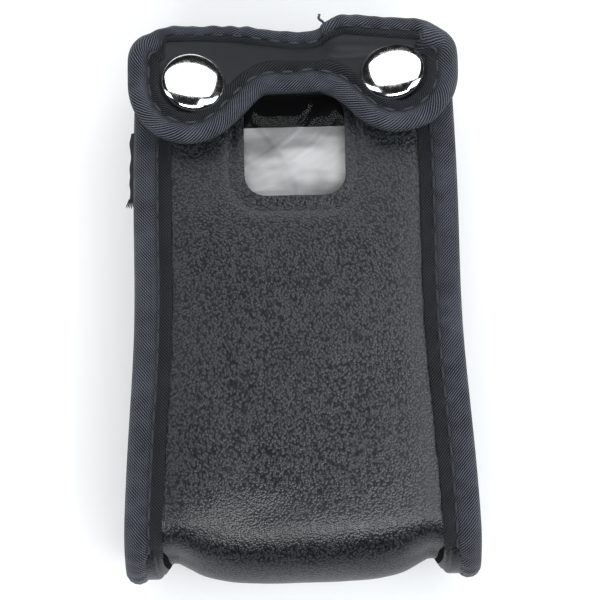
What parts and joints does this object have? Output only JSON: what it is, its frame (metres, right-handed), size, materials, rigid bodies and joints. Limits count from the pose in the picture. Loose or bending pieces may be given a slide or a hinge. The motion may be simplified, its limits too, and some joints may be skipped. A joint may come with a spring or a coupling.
{
  "type": "instrument pouch",
  "caption": "Flat leather pouch with bound edges, a clear window and a two-lobed snap-down closure, for a pocket-sized hand-held instrument.",
  "frame": {"origin": "middle of the surface that the pouch lies on, under the middle of its length and width", "axes": "+Z out of the front panel, +Y from the rolled bottom to the closure, +X to the right seen from the front"},
  "size_m": [0.0824, 0.1284, 0.0415],
  "materials": {
    "leather": "fine pebbled grain, satin",
    "lining": "thin woven lining",
    "tape": "twill-woven nylon binding tape",
    "thread": "twisted polyester thread",
    "film": "clear glossy film",
    "paper": "smooth white sheet",
    "cap_metal": "polished",
    "snap_metal": "nickel-plated"
  },
  "bodies": {
    "pouch": {"outer_strip": "leather", "strip_lining": "lining", "gusset_left": "leather", "gusset_right": "leather", "gusset_lining_left": "lining", "gusset_lining_right": "lining", "edge_binding_left": "tape", "edge_binding_right": "tape", "edge_stitches_left": "thread", "edge_stitches_right": "thread", "mouth_binding": "tape", "mouth_stitches": "thread", "gusset_rim_left": "tape", "gusset_rim_right": "tape", "window_film": "film", "window_stitches": "thread", "insert_sheet": "paper", "snap_studs": "snap_metal", "snap_rivets": "snap_metal"},
    "neck": {"neck_strip": "leather", "neck_lining": "lining", "neck_binding_left": "tape", "neck_binding_right": "tape"},
    "closure": {"closure_leather": "leather", "closure_lining": "lining", "closure_binding": "tape", "closure_stitches": "thread", "snap_sockets": "snap_metal", "snap_caps": "cap_metal"}
  },
  "joints": [
    {"name": "neck_fold", "type": "hinge", "parent": "pouch", "child": "neck", "pos_m": [0, 0.06241, 0.0016], "axis": [-1, 0, 0], "range_deg": [0, 80]},
    {"name": "closure_fold", "type": "hinge", "parent": "neck", "child": "closure", "pos_m": [0, 0.06241, 0.0356], "axis": [-1, 0, 0], "range_deg": [0, 90]}
  ]
}
